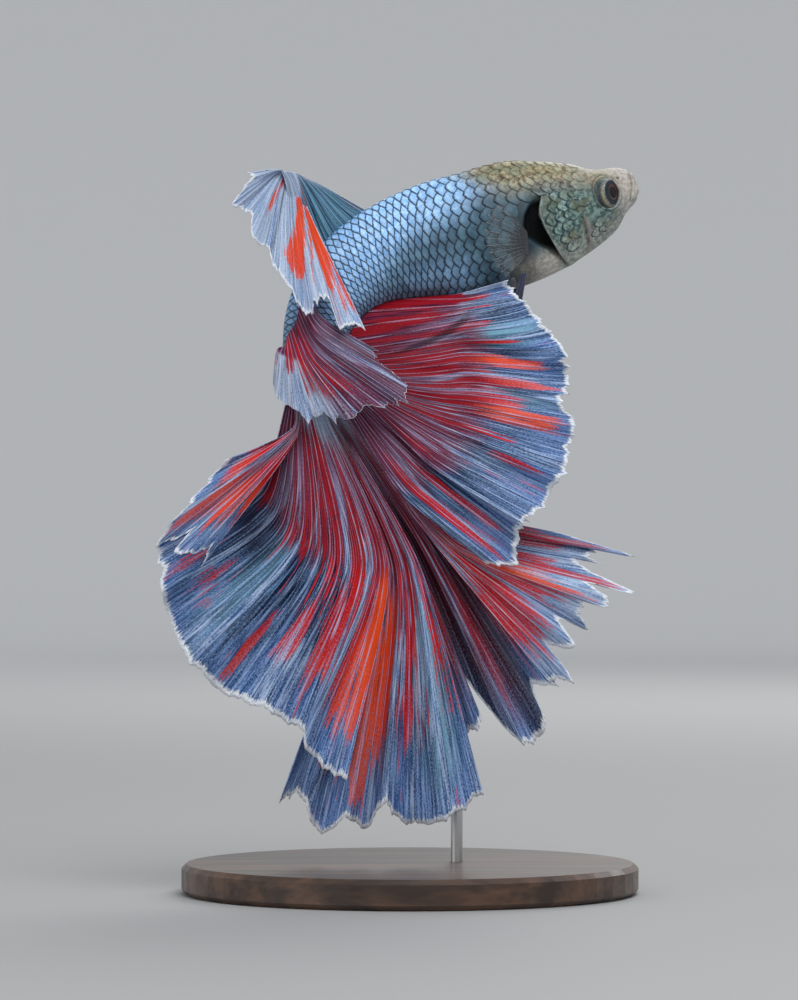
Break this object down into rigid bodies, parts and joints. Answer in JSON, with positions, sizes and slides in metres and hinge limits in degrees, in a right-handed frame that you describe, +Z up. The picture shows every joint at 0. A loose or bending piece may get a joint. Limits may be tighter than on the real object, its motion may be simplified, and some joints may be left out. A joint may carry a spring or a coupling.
{
  "type": "betta fish",
  "caption": "Life-size betta fish in mid-turn, its long pleated fins flowing, held over a round display base by one upright rod.",
  "frame": {"origin": "middle of the base's underside, at the level that the stand rests on", "axes": "+Z up, +X the way the fish's head points, -Y towards the fish's right side, which is the side it shows"},
  "size_m": [0.0496, 0.046, 0.0733],
  "materials": {
    "scaled_skin": "wet, iridescent blue-green to olive scales with dark rims",
    "eye": "wet gloss, dark pupil with a red-brown ring and a brass rim",
    "fin": "thin rayed membrane, red and blue streaks with a white edge",
    "clear_fin": "thin, almost clear rayed membrane",
    "stand_wood": "dark satin wood",
    "stand_steel": "brushed"
  },
  "bodies": {
    "root": {"head": "scaled_skin", "lower_jaw": "scaled_skin", "gill_cover_left": "scaled_skin", "gill_cover_right": "scaled_skin", "trunk_front": "scaled_skin", "trunk_rear": "scaled_skin", "tail_root": "scaled_skin", "eye_left": "eye", "eye_right": "eye", "dorsal_fin": "fin", "dorsal_fin_rear": "fin", "anal_fin": "fin", "tail_fin_upper": "fin", "tail_fin_left": "fin", "tail_fin_middle": "fin", "tail_fin_low": "fin", "tail_fin_right": "fin", "tail_fin_front": "fin", "pelvic_fin_left": "fin", "pelvic_fin_right": "fin", "pectoral_fin_left": "clear_fin", "pectoral_fin_right": "clear_fin", "stand_base": "stand_wood", "stand_rod": "stand_steel"}
  },
  "joints": []
}
